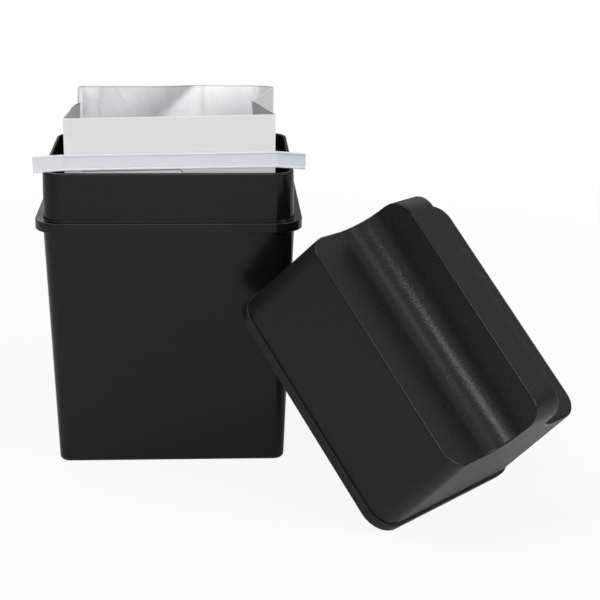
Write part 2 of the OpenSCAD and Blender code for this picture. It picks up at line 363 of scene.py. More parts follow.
# Painted shade on the gusset faces, which turn away from the light
GUSSET_PAINTED_SHADE = grey(0.45, COOL)
GUSSET_PAINTED_SHADING = 0.74
FOIL_EDGE_DARK = grey(0.25)
FOIL_EDGE_DARKENING = 0.5
FOIL_METAL = 0.78
FOIL_ROUGH = 0.49
CRUMPLE_ROUGH = 0.08
CREASE_ROUGH = 0.05
CRUMPLE_LIFT = 0.75
CREASE_LIFT = 0.10
FINE_LIFT = 0.04


def bag_foil():
    """Foil lining: dull metal, crumpled and creased, pale on folds, painted shade on gussets, darker at the
    cut edge.
    """
    f = Finish("bag_foil")
    crumple = f.noise(f.place(scale=(1.0, 1.0, 0.6)), size=11.0, detail=4.0, rough=0.55)
    crease = f.cells(f.place(scale=(1.0, 1.0, 0.45)), size=16.0, feature="DISTANCE_TO_EDGE")
    fine = f.noise(f.place(), size=0.8)
    ridge = 1.0 - f.between(crease, low=0.0, high=0.09)
    worn = f.mix(f.attribute("fold") * FOIL_FOLD_WEAR, f.mix(crumple, *FOIL_SHADES), FOIL_FOLD_SHADE)
    # Painted shade: the sideways gusset faces are darkened
    shaded = f.mix(f.attribute("gusset") * GUSSET_PAINTED_SHADING, worn, GUSSET_PAINTED_SHADE)
    # Darker along the foil's cut edge at the mouth
    colour = f.mix(f.attribute("cut_edge") * FOIL_EDGE_DARKENING, shaded, FOIL_EDGE_DARK)
    height = CRUMPLE_LIFT * crumple + CREASE_LIFT * ridge + FINE_LIFT * fine
    return f.surface(Base_Color=colour, Metallic=FOIL_METAL,
                     Roughness=FOIL_ROUGH + CRUMPLE_ROUGH * crumple - CREASE_ROUGH * ridge,
                     Normal=f.bump(height, depth=0.9, strength=0.55))


LABEL_SHADES = ((0.80, 0.82, 0.82, 1.0), (0.84, 0.855, 0.855, 1.0))
# Painted shadow: the dark line along the label's cut edge
LABEL_EDGE_PAINTED_SHADOW = grey(0.22)
LABEL_SHINE = 0.45
LABEL_ROUGH = 0.40
LABEL_FIBRE_ROUGH = 0.12


def label_paper():
    """Blank label: smooth coated paper, with a painted shadow line along its cut edge."""
    f = Finish("label_paper")
    where = f.place()
    fibres = f.noise(where, size=0.4, detail=3.0, rough=0.6)
    clouds = f.noise(where, size=9.0)
    # Painted shadow along the cut edge
    colour = f.mix(f.attribute("cut_edge"), f.mix(clouds, *LABEL_SHADES), LABEL_EDGE_PAINTED_SHADOW)
    return f.surface(Base_Color=colour, Roughness=LABEL_ROUGH + LABEL_FIBRE_ROUGH * fibres,
                     Specular_IOR_Level=LABEL_SHINE, Normal=f.bump(fibres, depth=0.015, strength=0.5))


TIE_SHADES = ((0.690, 0.725, 0.755, 1.0), (0.725, 0.758, 0.788, 1.0))
TIE_SHINE = 0.5
TIE_ROUGH = 0.36
TIE_LINE_ROUGH = 0.10
WIRE_SHADES = (grey(0.42), grey(0.60))
WIRE_ROUGH = 0.28
WIRE_LINE_ROUGH = 0.15
DRAWN = (0.02, 1.0, 1.0)


def tie_plastic():
    """Tin tie: cool white plastic, with drawn lines along the strip."""
    f = Finish("tie_plastic")
    lines = f.noise(f.place(scale=DRAWN), size=0.25)
    clouds = f.noise(f.place(scale=(0.3, 1.0, 1.0)), size=6.0)
    return f.surface(Base_Color=f.mix(clouds, *TIE_SHADES), Roughness=TIE_ROUGH + TIE_LINE_ROUGH * lines,
                     Specular_IOR_Level=TIE_SHINE, Normal=f.bump(lines, depth=0.03, strength=0.5))


def tie_wire():
    """Drawn steel wire."""
    f = Finish("tie_wire")
    lines = f.noise(f.place(scale=DRAWN), size=0.08)
    return f.surface(Base_Color=f.mix(lines, *WIRE_SHADES), Metallic=1.0,
                     Roughness=WIRE_ROUGH + WIRE_LINE_ROUGH * lines,
                     Normal=f.bump(lines, depth=0.01, strength=0.5))


# Mesh kit

WELD = 0.002 * MM
SHARP_ANGLE = math.radians(32.0)
ROUND_STEPS = 6


class Skin:
    """Points and faces collected as grids, welded into one mesh at the end."""

    def __init__(self):
        self.points = []
        self.faces = []
        self.finishes = []

    def grid(self, rows, finish=0, closed=False):
        """Four-sided faces between rows of equal length."""
        start = len(self.points)
        width = len(rows[0])
        for row in rows:
            self.points.extend(row)
        steps = width if closed else width - 1
        for j in range(len(rows) - 1):
            for k in range(steps):
                a = start + j * width + k
                b = start + j * width + (k + 1) % width
                self.faces.append((a, b, b + width, a + width))
                self.finishes.append(finish)

    def patch(self, row):
        """One flat face."""
        start = len(self.points)
        self.points.extend(row)
        self.faces.append(tuple(range(start, start + len(row))))
        self.finishes.append(0)

    def mirrored(self):
        """The skin of one quarter, turned over both middle planes."""
        whole = Skin()
        for sx, sy in ((1, 1), (-1, 1), (-1, -1), (1, -1)):
            start = len(whole.points)
            whole.points.extend((sx * x, sy * y, z) for x, y, z in self.points)
            whole.faces.extend(tuple(start + k for k in face) for face in self.faces)
            whole.finishes.extend(self.finishes)
        return whole

    def mesh(self, name, placing=None):
        """The welded mesh in metres, its faces pointing out."""
        mesh = bpy.data.meshes.new(name)
        mesh.from_pydata([Vector(p) for p in self.points], [], self.faces)
        for face, finish in zip(mesh.polygons, self.finishes):
            face.material_index = finish
        if placing is not None:
            mesh.transform(placing)
        mesh.transform(Matrix.Scale(MM, 4))
        weld(mesh)
        return mesh


def weld(mesh, fill=False):
    """Merges doubles, closes open ends if asked, and turns the faces out."""
    bm = bmesh.new()
    bm.from_mesh(mesh)
    bmesh.ops.remove_doubles(bm, verts=bm.verts, dist=WELD)
    bmesh.ops.dissolve_degenerate(bm, edges=bm.edges, dist=WELD)
    if fill:
        bmesh.ops.holes_fill(bm, edges=[e for e in bm.edges if e.is_boundary], sides=0)
    bmesh.ops.recalc_face_normals(bm, faces=bm.faces)
    bm.to_mesh(mesh)
    bm.free()


def piece(name, mesh, finishes, nodes, body=None):
    """Adds a finished piece that stands for its solids, and moves with a body if one is given."""
    if not mesh.materials:
        for finish in finishes:
            mesh.materials.append(finish)
    mesh.shade_smooth()
    mesh.set_sharp_from_angle(angle=SHARP_ANGLE)
    obj = bpy.data.objects.new(name, mesh)
    bpy.context.scene.collection.objects.link(obj)
    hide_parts(*nodes)
    if body is not None:
        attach(obj, body)
    return obj


def arc(centre, r, start, end, steps=ROUND_STEPS):
    """Points of a flat arc between two angles in degrees."""
    points = []
    for k in range(steps + 1):
        a = math.radians(start + (end - start) * k / steps)
        points.append((centre[0] + r * math.cos(a), centre[1] + r * math.sin(a)))
    return points


def line_mesh(name, points):
    """A chain of points as loose edges, in metres."""
    mesh = bpy.data.meshes.new(name)
    mesh.from_pydata([Vector(p) * MM for p in points], [(k, k + 1) for k in range(len(points) - 1)], [])
    return mesh


# Geometry trees

class Tree:
    """A Geometry Nodes tree with named inputs."""

    def __init__(self, name, inputs):
        self.tree = bpy.data.node_groups.new(name, "GeometryNodeTree")
        self.ids = {}
        for label, kind in inputs:
            made = self.tree.interface.new_socket(label, in_out="INPUT", socket_type=kind)
            self.ids[label] = made.identifier
        self.tree.interface.new_socket("Geometry", in_out="OUTPUT", socket_type="NodeSocketGeometry")
        self.given = self.tree.nodes.new("NodeGroupInput")

    def add(self, kind, settings=None, sockets=None):
        """Adds one node and gives its first output."""
        node = self.tree.nodes.new(kind)
        for name, value in (settings or {}).items():
            setattr(node, name, value)
        for name, value in (sockets or {}).items():
            several = value if isinstance(value, list) else [value]
            for one in several:
                if isinstance(one, bpy.types.NodeSocket):
                    self.tree.links.new(one, node.inputs[name])
                else:
                    node.inputs[name].default_value = one
        return node.outputs[0]

    def close(self, shape, material):
        """Ends the tree in real geometry with its material."""
        real = self.add("GeometryNodeRealizeInstances", sockets={"Geometry": shape})
        done = self.add("GeometryNodeSetMaterial", sockets={"Geometry": real, "Material": material})
        out = self.tree.nodes.new("NodeGroupOutput")
        self.tree.links.new(done, out.inputs[0])

    def run(self, start, values):
        """The plain mesh that the tree makes from a start mesh and its values."""
        obj = bpy.data.objects.new(start.name, start)
        bpy.context.scene.collection.objects.link(obj)
        modifier = obj.modifiers.new(self.tree.name, "NODES")
        modifier.node_group = self.tree
        for label, value in values.items():
            modifier[self.ids[label]] = value
        made = bpy.data.meshes.new_from_object(obj.evaluated_get(bpy.context.evaluated_depsgraph_get()))
        bpy.data.objects.remove(obj)
        return made


# Canister

CORNER_STEPS = 20


def canister_wall():
    """The wall's section as step in from the flange outline and height.

    It runs from under the base, out over the flange, up the collar and over the rim to the inner floor.
    """
    low = FLANGE_TOP - FLANGE_T
    lift = SHOULDER_FILLET / (low - BASE_ROUND) * (BASE_INSET - SHOULDER_INSET)
    inner_base = BASE_INSET + WALL
    inner_rim = RIM_INSET + RIM_WALL
    inner_edge = EDGE_ROUND / 2
    return (
        arc((BASE_INSET + BASE_ROUND, BASE_ROUND), BASE_ROUND, 270, 180)
        + arc((SHOULDER_INSET - SHOULDER_FILLET + lift, low - SHOULDER_FILLET), SHOULDER_FILLET, 0, 90)
        + arc((FLANGE_ROUND, low + FLANGE_ROUND), FLANGE_ROUND, 270, 180)
        + arc((FLANGE_ROUND, FLANGE_TOP - FLANGE_ROUND), FLANGE_ROUND, 180, 90)
        + arc((COLLAR_INSET - COLLAR_FILLET, FLANGE_TOP + COLLAR_FILLET), COLLAR_FILLET, 270, 360)
        + arc((RIM_INSET + EDGE_ROUND, RIM_Z - EDGE_ROUND), EDGE_ROUND, 180, 90)
        + arc((inner_rim - inner_edge, RIM_Z - inner_edge), inner_edge, 90, 0)
        + [(inner_rim, FLANGE_TOP)]
        + arc((inner_base + INNER_ROUND, FLOOR_T + INNER_ROUND), INNER_ROUND, 180, 270)
    )


def canister_tree():
    """Sweeps the wall's section round the flange outline."""
    t = Tree("canister_sweep", [
        ("Wall section", "NodeSocketGeometry"), ("Width", "NodeSocketFloat"), ("Depth", "NodeSocketFloat"),
        ("Corner radius", "NodeSocketFloat"), ("Corner steps", "NodeSocketInt"),
        ("Plastic", "NodeSocketMaterial")])
    given = t.given.outputs
    outline = t.add("GeometryNodeCurvePrimitiveQuadrilateral",
                    sockets={"Width": given["Width"], "Height": given["Depth"]})
    rounded = t.add("GeometryNodeFilletCurve", {"mode": "POLY"},
                    {"Curve": outline, "Radius": given["Corner radius"], "Count": given["Corner steps"]})
    level = t.add("GeometryNodeSetCurveNormal", {"mode": "Z_UP"}, {"Curve": rounded})
    section = t.add("GeometryNodeMeshToCurve", sockets={"Mesh": given["Wall section"]})
    swept = t.add("GeometryNodeCurveToMesh", sockets={"Curve": level, "Profile Curve": section})
    t.close(swept, given["Plastic"])
    return t


def make_canister(plastic):
    """The canister: its wall swept round, with the underside and the inner floor filled in."""
    section = line_mesh("canister_wall", [(-step, -height, 0.0) for step, height in canister_wall()])
    mesh = canister_tree().run(section, {
        "Width": FLANGE_W * MM, "Depth": FLANGE_D * MM, "Corner radius": FLANGE_R * MM,
        "Corner steps": CORNER_STEPS, "Plastic": plastic})
    weld(mesh, fill=True)
    canister = piece("canister", mesh, [plastic], ["canister_body"], "canister")
    canister.modifiers.new("flat_sides", "WEIGHTED_NORMAL").keep_sharp = True


# Lid

LID_COLUMNS = 20
LID_ROWS = 10
CREST_CELLS = 4
EDGE_STEPS = 5
END_STEPS = 14
SWEEP_STEPS = 20
FLAT_STEPS = 4
LID_CORNER_STEPS = 12
WALL_FINISH, TOP_FINISH, EDGE_FINISH = range(3)
HALF_W = FLANGE_W / 2 - FLANGE_R
HALF_D = FLANGE_D / 2 - FLANGE_R
FLANK_RUN = math.cos(FLANK_SLOPE) / math.sin(FLANK_SLOPE)
SWEEP_Z = LID_FLAT + SWEEP_R
SWEEP_Y = CREST_HALF + (SWEEP_R + (LID_TOP - SWEEP_Z) * math.cos(FLANK_SLOPE)) / math.sin(FLANK_SLOPE)
END_Z = LID_TOP - RIDGE_END_R
END_X = (FLANGE_W / 2 - LIP_OVER - LID_DRAFT * END_Z
         - RIDGE_END_R * math.sqrt(1.0 + LID_DRAFT * LID_DRAFT))


def lid_wall_point(centre, way, z, depth):
    """A point of the drafted wall, depth in from its outer face.

    It stands out from a point of the outline through the corners' centres, along an outward direction.
    """
    reach = FLANGE_R - LIP_OVER - depth - LID_DRAFT * z
    return Vector((centre[0] + way[0] * reach, centre[1] + way[1] * reach, z))


class EdgeStop:
    """A stop on the edge between the lid's hollow top and its walls, in one quarter of the lid."""

    def __init__(self, point, into_top, wall_end, round_r, centre=None, way=None):
        self.top_end = point + round_r * into_top.normalized()
        self.wall_end = wall_end
        self.centre = centre
        self.way = way
        self.across = []
        for k in range(EDGE_STEPS + 1):
            a = math.pi / 2 * k / EDGE_STEPS
            self.across.append(point + (1.0 - math.sin(a)) * (self.top_end - point)
                               + (1.0 - math.cos(a)) * (wall_end - point))


def lid_edge(depth, round_r):
    """The stops of one quarter, as those along the crest, over the ridge's end, and along the walls.

    Along the walls they go down the sweep, out to the corner, round it and back to the middle.
    """
    top = LID_TOP - depth
    r = SWEEP_R + depth
    foot = Vector((SWEEP_Y - r * math.sin(FLANK_SLOPE), SWEEP_Z - r * math.cos(FLANK_SLOPE)))
    crest_y = foot.x - (top - foot.y) * FLANK_RUN
    flat = LID_FLAT - depth
    outward = Vector((0.0, round_r, 0.0))
    crest, end, wall = [], [], []
    for k in range(LID_COLUMNS):
        point = Vector((END_X * k / LID_COLUMNS, crest_y, top))
        crest.append(EdgeStop(point, Vector((0.0, FLANK_RUN, -1.0)), point - outward, round_r))
    for k in range(END_STEPS + 1):
        a = math.pi / 2 * (1.0 - k / END_STEPS)
        z = END_Z + (RIDGE_END_R - depth) * math.sin(a)
        point = Vector((END_X + (RIDGE_END_R - depth) * math.cos(a), crest_y + (top - z) * FLANK_RUN, z))
        into = Vector((-math.cos(a), FLANK_RUN * math.sin(a), -math.sin(a)))
        end.append(EdgeStop(point, into, point - outward, round_r))

    def on_end_wall(y, z, dy, dz):
        centre = (HALF_W, y + round_r * dy)
        below = lid_wall_point(centre, (1.0, 0.0), z + round_r * dz, depth)
        point = lid_wall_point((HALF_W, y), (1.0, 0.0), z, depth)
        wall.append(EdgeStop(point, Vector((-1.0, 0.0, 0.0)), below, round_r, centre, (1.0, 0.0)))

    for k in range(SWEEP_STEPS + 1):
        a = math.pi * 1.5 - FLANK_SLOPE * (1.0 - k / SWEEP_STEPS)
        on_end_wall(SWEEP_Y + r * math.cos(a), SWEEP_Z + r * math.sin(a), math.cos(a), math.sin(a))
    for k in range(1, FLAT_STEPS + 1):
        on_end_wall(SWEEP_Y + (HALF_D - SWEEP_Y) * k / FLAT_STEPS, flat, 0.0, -1.0)

    def on_side(centre, way):
        point = lid_wall_point(centre, way, flat, depth)
        below = lid_wall_point(centre, way, flat - round_r, depth)
        wall.append(EdgeStop(point, Vector((-way[0], -way[1], 0.0)), below, round_r, centre, way))

    for k in range(1, LID_CORNER_STEPS + 1):
        a = math.pi / 2 * k / LID_CORNER_STEPS
        on_side((HALF_W, HALF_D), (math.cos(a), math.sin(a)))
    for k in range(1, LID_COLUMNS + 1):
        on_side((HALF_W * (1.0 - k / LID_COLUMNS), HALF_D), (0.0, 1.0))
    return crest, end, wall


def lid_feet(wall):
    """Where each wall column of a quarter stands: a point of the centres' outline and its way out."""
    first = wall[0].centre[1]
    under_ridge = [((HALF_W, first * k / CREST_CELLS), (1.0, 0.0)) for k in range(CREST_CELLS)]
    return under_ridge + [(stop.centre, stop.way) for stop in wall]


def lid_side(skin, depth, round_r, foot_z, feet, top_finish, edge_finish):
    """One face of the lid's shell in a quarter: hollow top, rounded edge, ridge and walls."""
    crest, end, wall = lid_edge(depth, round_r)
    rows = []
    for stop in end + wall[:SWEEP_STEPS + FLAT_STEPS + LID_CORNER_STEPS + 1]:
        x, y, z = stop.top_end
        rows.append([(x * k / LID_COLUMNS, y, z) for k in range(LID_COLUMNS + 1)])
    skin.grid(rows, top_finish)
    skin.grid([stop.across for stop in crest + end + wall], edge_finish)
    ridge = []
    for stop in crest + end + wall[:1]:
        x, y, z = stop.wall_end
        ridge.append([(x, y * k / CREST_CELLS, z) for k in range(CREST_CELLS + 1)])
    skin.grid(ridge, WALL_FINISH)
    heads = [(centre, way, wall[0].wall_end.z) for centre, way in lid_feet(wall)[:CREST_CELLS]]
    heads += [(stop.centre, stop.way, stop.wall_end.z) for stop in wall]
    columns = []
    for (centre, way, z), (foot, _) in zip(heads, feet):
        column = []
        for k in range(LID_ROWS + 1):
            t = k / LID_ROWS
            here = (centre[0] + (foot[0] - centre[0]) * t, centre[1] + (foot[1] - centre[1]) * t)
            column.append(lid_wall_point(here, way, z + (foot_z - z) * t, depth))
        columns.append(column)
    skin.grid(columns, WALL_FINISH)


def lid_placing():
    """The lid's place: on its lip's edge, leaning on the canister's front right corner."""
    lean_z = FLANGE_W * math.sin(LID_LEAN) + FOOT_GAP
    lean_inset = BASE_INSET + (SHOULDER_INSET - BASE_INSET) * lean_z / (FLANGE_TOP - FLANGE_T)
    out = FLANGE_R - lean_inset + LEAN_GAP + FLANGE_W / 2 * math.cos(LID_LEAN)
    along = Vector((math.cos(LID_TURN), math.sin(LID_TURN), 0.0))
    across = Vector((-math.sin(LID_TURN), math.cos(LID_TURN), 0.0))
    corner = Vector((HALF_W, -HALF_D, FLANGE_W / 2 * math.sin(LID_LEAN) + FOOT_GAP))
    place = Matrix.Translation(corner + along * out + across * LID_SIDE)
    return place @ Matrix.Rotation(LID_TURN, 4, "Z") @ Matrix.Rotation(LID_LEAN, 4, "Y")


def make_lid(plastic, grained, polished):
    """The lid: one quarter's outer and inner face, joined by the lip, mirrored and set leaning."""
    quarter = Skin()
    feet = lid_feet(lid_edge(0.0, LID_EDGE_ROUND)[2])
    lid_side(quarter, 0.0, LID_EDGE_ROUND, LIP_H, feet, TOP_FINISH, EDGE_FINISH)
    lid_side(quarter, LID_WALL, LID_INNER_ROUND, 0.0, feet, WALL_FINISH, WALL_FINISH)
    lip = ([(LIP_OVER + LID_DRAFT * LIP_H, LIP_H)]
           + arc((LIP_ROUND, LIP_H - LIP_ROUND), LIP_ROUND, 90, 180, EDGE_STEPS)
           + arc((LIP_ROUND, LIP_ROUND), LIP_ROUND, 180, 270, EDGE_STEPS)
           + [(LIP_OVER + LID_WALL, 0.0)])
    rows = []
    for step, z in lip:
        reach = FLANGE_R - step
        rows.append([(c[0] + w[0] * reach, c[1] + w[1] * reach, z) for c, w in feet])
    quarter.grid(rows, WALL_FINISH)
    mesh = quarter.mirrored().mesh("lid", lid_placing())
    lid = piece("lid", mesh, [plastic, grained, polished], ["lid_shell"], "lid")
    lid.modifiers.new("flat_sides", "WEIGHTED_NORMAL").keep_sharp = True


# Bag. Its panels are the front, the right gusset's two halves, the back, and the left gusset's two halves.
# A share is a share of the bag's height, and panel forms are in millimetres at the mouth.

FRONT, BACK = 0, 3
PANEL_CUTS = (26, 10, 10, 100, 10, 12)
PANEL_BOWS = (0.0, 0.1, 0.2, 0.8, 0.3, 1.4)
BAG_LEVELS = (0.0, 0.12, 0.25, 0.38, 0.5, 0.6, 0.69, 0.76, 0.81, 0.85, 0.88, 0.90, 0.915, 0.93, 0.942, 0.954,
              0.966, 0.976, 0.985, 0.992, 0.997, 1.0)
RIM_SHARE = 0.997
FOLD_POWER = 1.4
RIGHT_BACK_OUT = 2.4
RIGHT_BACK_REAR = 1.2
LEFT_BACK_IN = 1.0
FOLD_REACH = 1.6
GUSSET_TURN = 0.8

# Gussets: a faint wave, with its turn in radians along the panel and up it
GUSSET_WAVE = 0.25
GUSSET_WAVE_ALONG = 9.0
GUSSET_WAVE_UP = 7.0

# Back panel, with places and widths in shares of the panel from its middle to the right.
# A slack fold is its height, place and width.
BULGE = 3.8
BULGE_X = 0.085
BULGE_LEAN = 1.8
BULGE_RUN = 0.30
BULGE_SOFT = 0.45
BULGE_END = 0.6
CLIMB_POWER = 3
BULGE_POWER = 2
MOUTH_POWER = 3
TUCK = -0.4
TUCK_X = 0.150
TUCK_W = 0.014
SLACK_FOLDS = ((1.3, -0.50, 0.22), (0.6, -0.405, 0.035), (0.5, -0.49, 0.02), (-0.25, 0.41, 0.009))
RIPPLE = 0.2
RIPPLE_ALONG = 21.0
RIPPLE_UP = 5.0
BULGE_HOLD = 12.0
SLACK_HOLD = 60.0


def front_y(z):
    """Depth of the front panel's plane at a height."""
    return BAG_FRONT - math.tan(FRONT_LEAN) * (z - BAG_Z)


def bag_level(x, y, share):
    """Height of the bag's face above a point of the plan, at a share of the way to the mouth."""
    rise = MOUTH_RISE * (x - BAG_X) * min(1.0, max(0.0, (BAG_BACK - y) / BAG_D))
    return BAG_Z + share * (BAG_TOP + rise - BAG_Z)


def bell(x, middle, width):
    """A round hump, 1 high."""
    return math.exp(-((x - middle) / width) ** 2)


def soft_min(a, b, blend):
    """The smaller of two values, with a soft turn from one to the other."""
    return min(a, b) - blend * math.log(1.0 + math.exp(-abs(a - b) / blend))


def held_end(t, slope):
    """1 along a panel, and 0 at its two corners."""
    return min(1.0, slope * t, slope * (1.0 - t))


def back_wave(t, share):
    """How far the back panel stands out: a bulge up to a slanting crease, slack folds and a ripple."""
    x = 0.5 - t
    crease = BULGE_X - BULGE_LEAN * (1.0 - share)
    climb = BULGE * max(0.0, (x - crease) / BULGE_RUN + 1.0) ** CLIMB_POWER
    fall = BULGE * (BULGE_END + (1.0 - BULGE_END) * (0.5 - x) / (0.5 - crease))
    bulge = share ** BULGE_POWER * soft_min(climb, fall, BULGE_SOFT)
    tuck = TUCK * bell(x, TUCK_X, TUCK_W)
    slack = sum(rise * bell(x, middle, width) for rise, middle, width in SLACK_FOLDS)
    ripple = RIPPLE * math.sin(RIPPLE_ALONG * t + RIPPLE_UP * share)
    bulged = held_end(t, BULGE_HOLD) * (bulge + tuck + ripple)
    return share ** MOUTH_POWER * (bulged + held_end(t, SLACK_HOLD) * slack)


def panel_wave(edge, t, share):
    """How far a panel stands out from its plain form: not at all at the front, and most near the mouth."""
    if edge == FRONT:
        return 0.0
    if edge == BACK:
        return back_wave(t, share)
    turn = GUSSET_WAVE_ALONG * t + GUSSET_WAVE_UP * share + edge
    return math.sin(math.pi * t) * GUSSET_WAVE * math.sin(turn) * share


def bag_plan(share):
    """Plan of the bag at a share of its height: flat front panel, folded gussets, bowed back."""
    fold = share ** FOLD_POWER
    left = BAG_X - BAG_W / 2
    right = BAG_X + BAG_W / 2
    corners = [
        Vector((left, front_y(bag_level(left, BAG_FRONT, share)))),
        Vector((right, front_y(bag_level(right, BAG_FRONT, share)))),
        Vector((right - RIGHT_FOLD * fold, RIGHT_FOLD_Y)),
        Vector((right + RIGHT_BACK_OUT * share, BAG_BACK + RIGHT_BACK_REAR * share)),
        Vector((left + LEFT_BACK_IN * share, BAG_BACK)),
        Vector((left + LEFT_FOLD * fold, LEFT_FOLD_Y)),
    ]
    plan = []
    for edge, cuts in enumerate(PANEL_CUTS):
        a, b = corners[edge], corners[(edge + 1) % len(corners)]
        along = (b - a).normalized()
        out = Vector((along.y, -along.x))
        for k in range(cuts):
            t = k / cuts
            bow = PANEL_BOWS[edge] * share * math.sin(math.pi * (t if edge == BACK else math.sqrt(t)))
            plan.append(a + (b - a) * t + out * (bow + panel_wave(edge, t, share)))
    return plan


def moved_in(plan, depth):
    """A closed plan moved in, square to its edges."""
    moved = []
    for k, point in enumerate(plan):
        before = point - plan[k - 1]
        after = plan[(k + 1) % len(plan)] - point
        u = Vector((-before.y, before.x)).normalized()
        v = Vector((-after.y, after.x)).normalized()
        moved.append(point + depth * (u + v) / (1.0 + u.dot(v)))
    return moved


def bag_face(depth):
    """Levels of one face of a ply, depth in from the bag's outer face."""
    levels = []
    for share in BAG_LEVELS:
        levels.append([(p.x, p.y, bag_level(p.x, p.y, share) + depth * (1.0 - share))
                       for p in moved_in(bag_plan(share), depth)])
    return levels


def mark(mesh, name, domain, values):
    """Gives the mesh a value at each point or face, for its finish."""
    mesh.attributes.new(name, "FLOAT", domain).data.foreach_set("value", values)


def make_ply(name, outer, inner, finish, node):
    """One ply of the bag as a closed thin shell, with its folds kept sharp and marked for wear."""
    skin = Skin()
    faces = bag_face(outer)
    lining = bag_face(inner)
    skin.grid(faces, closed=True)
    skin.grid(lining, closed=True)
    skin.grid([faces[-1], lining[-1]], closed=True)
    skin.patch(faces[0])
    skin.patch(lining[0])
    mesh = skin.mesh(name)
    corners = [sum(PANEL_CUTS[:edge]) for edge in range(len(PANEL_CUTS))]
    lines = [[Vector(level[c]) * MM for level in face] for face in (faces, lining) for c in corners]
    on_fold = set()
    near = []
    for vertex in mesh.vertices:
        gap = min((vertex.co - point).length for line in lines for point in line)
        if gap < 2 * WELD:
            on_fold.add(vertex.index)
        near.append(max(0.0, 1.0 - gap / (FOLD_REACH * MM)))
    mark(mesh, "fold", "POINT", near)
    # Faces turned sideways: the foil paints shade on them
    mark(mesh, "gusset", "FACE", [float(abs(face.normal.x) > GUSSET_TURN) for face in mesh.polygons])
    # Faces along the mouth's cut edge: the paper gets a painted highlight there, and the foil a darker band
    mark(mesh, "cut_edge", "FACE", [float(c.z > bag_level(c.x / MM, c.y / MM, RIM_SHARE) * MM)
                                    for c in (face.center for face in mesh.polygons)])
    piece(name, mesh, [finish], [node], "bag")
    for edge in mesh.edges:
        if edge.vertices[0] in on_fold and edge.vertices[1] in on_fold:
            edge.use_edge_sharp = True


def on_front(z):
    """Frame of the front panel's outer face at a height: x along it, z up it, -y out of it."""
    return Matrix.Translation((0.0, front_y(z), z)) @ Matrix.Rotation(FRONT_LEAN, 4, "X")


def make_label(finish):
    """Blank label: a thin sheet with rounded corners and a soft edge, its top along the foot of the tie."""
    right = LABEL_RIGHT - LABEL_CORNER
    left = LABEL_RIGHT - LABEL_W + LABEL_CORNER
    high = -LABEL_CORNER
    low = LABEL_CORNER - LABEL_H

    def ring(step, height):
        points = []
        for x, z, start in ((right, high, 0), (left, high, 90), (left, low, 180), (right, low, 270)):
            corner = arc((x, z), LABEL_CORNER - step, start, start + 90)
            points.extend((px, -height, pz) for px, pz in corner)
        return points

    rings = [ring(0.0, 0.0), ring(0.0, LABEL_T - LABEL_EDGE),
             ring(LABEL_EDGE, LABEL_T), ring(LABEL_LINE, LABEL_T)]
    skin = Skin()
    skin.grid(rings, closed=True)
    skin.patch(rings[0])
    skin.patch(rings[-1])
    mesh = skin.mesh("label", tie_frame() @ Matrix.Translation((0.0, 0.0, -TIE_H / 2 - LABEL_DROP)))
    # Border faces, which get a painted shadow line
    mark(mesh, "cut_edge", "FACE", [float(len(face.vertices) == 4 and face.center.x > left * MM)
                                    for face in mesh.polygons])
    piece("label", mesh, [finish], ["bag_label"], "bag")


# Tin tie

BEND_STEPS = 6
RIB_STEPS = 25


def tie_frame():
    """Frame of the tie: x along the strip, z across it, its back on the panel."""
    return on_front(TIE_Z) @ Matrix.Rotation(-TIE_TILT, 4, "Y")


def tie_tree():
    """Sweeps the strip's section, two ribs joined by a thin web, along its path."""
    t = Tree("tie_sweep", [
        ("Path", "NodeSocketGeometry"), ("Rib radius", "NodeSocketFloat"), ("Rib steps", "NodeSocketInt"),
        ("Rib start", "NodeSocketFloat"), ("Rib sweep", "NodeSocketFloat"), ("Rib place", "NodeSocketVector"),
        ("Web top", "NodeSocketVector"), ("Web foot", "NodeSocketVector"), ("Back top", "NodeSocketVector"),
        ("Back foot", "NodeSocketVector"), ("Plastic", "NodeSocketMaterial")])
    given = t.given.outputs
    path = t.add("GeometryNodeMeshToCurve", sockets={"Mesh": given["Path"]})
    level = t.add("GeometryNodeSetCurveNormal", {"mode": "Z_UP"}, {"Curve": path})
    rib = t.add("GeometryNodeCurveArc", {"mode": "RADIUS"},
                {"Resolution": given["Rib steps"], "Radius": given["Rib radius"],
                 "Start Angle": given["Rib start"], "Sweep Angle": given["Rib sweep"]})
    upper = t.add("GeometryNodeTransform", sockets={"Geometry": rib, "Translation": given["Rib place"]})
    lower = t.add("GeometryNodeTransform", sockets={"Geometry": upper, "Scale": (1.0, -1.0, 1.0)})
    web = t.add("GeometryNodeCurvePrimitiveLine",
                sockets={"Start": given["Web top"], "End": given["Web foot"]})
    back = t.add("GeometryNodeCurvePrimitiveLine",
                 sockets={"Start": given["Back top"], "End": given["Back foot"]})
    section = t.add("GeometryNodeJoinGeometry", sockets={"Geometry": [upper, lower, web, back]})
    swept = t.add("GeometryNodeCurveToMesh", sockets={"Curve": level, "Profile Curve": section})
    t.close(swept, given["Plastic"])
    return t


def tie_path(side):
    """Path of the strip's middle (0), or of its left (-1) or right (1) end with its bend."""
    if side == 0:
        return [(BEND_LEFT + BEND_REACH, -RIB_R, 0.0), (BEND_RIGHT - BEND_REACH, -RIB_R, 0.0)]
    bend = RIGHT_BEND if side > 0 else LEFT_BEND
    hinge = BEND_RIGHT if side > 0 else BEND_LEFT
    lead = BEND_R * math.tan(bend / 2)
    points = [(hinge - side * BEND_REACH, -RIB_R, 0.0)]
    for k in range(BEND_STEPS + 1):
        a = bend * k / BEND_STEPS
        x = hinge + side * (BEND_R * math.sin(a) - lead)
        points.append((x, -RIB_R - BEND_R * (1.0 - math.cos(a)), 0.0))
    points.append((hinge + side * END_LEN * math.cos(bend), -RIB_R - END_LEN * math.sin(bend), 0.0))
    return points if side > 0 else points[::-1]


